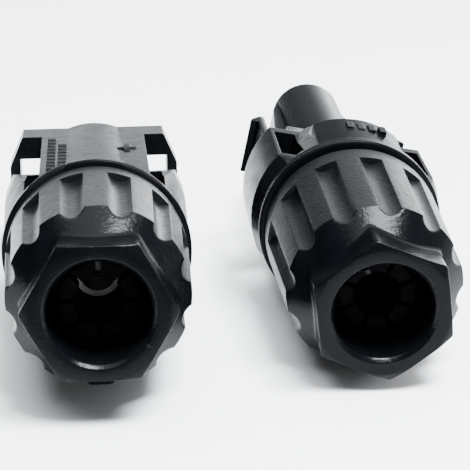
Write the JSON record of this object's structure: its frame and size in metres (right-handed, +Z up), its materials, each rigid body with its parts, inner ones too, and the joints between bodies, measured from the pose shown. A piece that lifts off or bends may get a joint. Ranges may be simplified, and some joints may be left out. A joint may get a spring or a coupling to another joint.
{
  "type": "solar cable connector pair",
  "caption": "Single-pole solar cable connector, plug and socket halves lying side by side, with screw-on fluted cable nuts, latch fingers and crimp contacts.",
  "frame": {"origin": "middle of the footprint of the pair as it lies, on the surface it lies on", "axes": "+Z up, +Y along the connectors from the cable entries to the mating ends, +X from the plug half to the socket half"},
  "size_m": [0.0504, 0.0684, 0.0213],
  "materials": {
    "housing_plastic": "satin black moulded PPO, fine spark-eroded grain",
    "nut_plastic": "black moulded PPO, grained grip and smoother shoulder",
    "cage_plastic": "dark grey moulded polyamide",
    "seal_rubber": "black silicone rubber, dull",
    "tinned_copper": "bright tin plating on turned copper",
    "spring_metal": "rolled stainless spring strip"
  },
  "bodies": {
    "plug_body": {"plug_housing": "housing_plastic", "plug_cable_seal": "seal_rubber", "plug_pin_contact": "tinned_copper", "plug_retaining_clip": "spring_metal", "plug_nose_seal": "seal_rubber"},
    "plug_cage_carrier": {"plug_clamp_cage": "cage_plastic"},
    "plug_nut_body": {"plug_nut": "nut_plastic"},
    "socket_body": {"socket_housing": "housing_plastic", "socket_cable_seal": "seal_rubber", "socket_contact": "tinned_copper", "socket_spring_band": "spring_metal", "socket_retaining_clip": "spring_metal"},
    "socket_cage_carrier": {"socket_clamp_cage": "cage_plastic"},
    "socket_nut_body": {"socket_nut": "nut_plastic"},
    "latch_left": {"latch_finger_left": "housing_plastic"},
    "latch_right": {"latch_finger_right": "housing_plastic"}
  },
  "joints": [
    {"name": "plug_nut_travel", "type": "slide", "parent": "plug_body", "child": "plug_cage_carrier", "axis": [0, -0.9967, 0.0812], "range_m": [-0.0004, 0.006]},
    {"name": "plug_nut_turn", "type": "hinge", "parent": "plug_cage_carrier", "child": "plug_nut_body", "pos_m": [-0.0147, -0.02363, 0.01153], "axis": [0, -0.9967, 0.0812], "range_deg": [-73, 1081]},
    {"name": "socket_lift", "type": "slide", "parent": "plug_body", "child": "socket_body", "axis": [0, 0, 1], "range_m": [0, 0.06]},
    {"name": "socket_nut_travel", "type": "slide", "parent": "socket_body", "child": "socket_cage_carrier", "axis": [0.0174, -0.9983, -0.0565], "range_m": [-0.0008, 0.006]},
    {"name": "socket_nut_turn", "type": "hinge", "parent": "socket_cage_carrier", "child": "socket_nut_body", "pos_m": [0.01453, -0.01802, 0.00975], "axis": [0.0174, -0.9983, -0.0565], "range_deg": [-145, 1081]},
    {"name": "latch_left_flex", "type": "hinge", "parent": "socket_body", "child": "latch_left", "pos_m": [0.00533, 0.00814, 0.01294], "axis": [-0.1917, 0.0521, -0.9801], "range_deg": [0, 6.2], "stiffness_Nm_per_rad": 0.1},
    {"name": "latch_right_flex", "type": "hinge", "parent": "socket_body", "child": "latch_right", "pos_m": [0.0228, 0.00864, 0.00955], "axis": [0.1917, -0.0521, 0.9801], "range_deg": [0, 6.2], "stiffness_Nm_per_rad": 0.1}
  ],
  "couplings": [
    {"joint": "plug_nut_turn", "follows": "plug_nut_travel", "rad_per_m": 3141.6},
    {"joint": "socket_nut_turn", "follows": "socket_nut_travel", "rad_per_m": 3141.6}
  ]
}
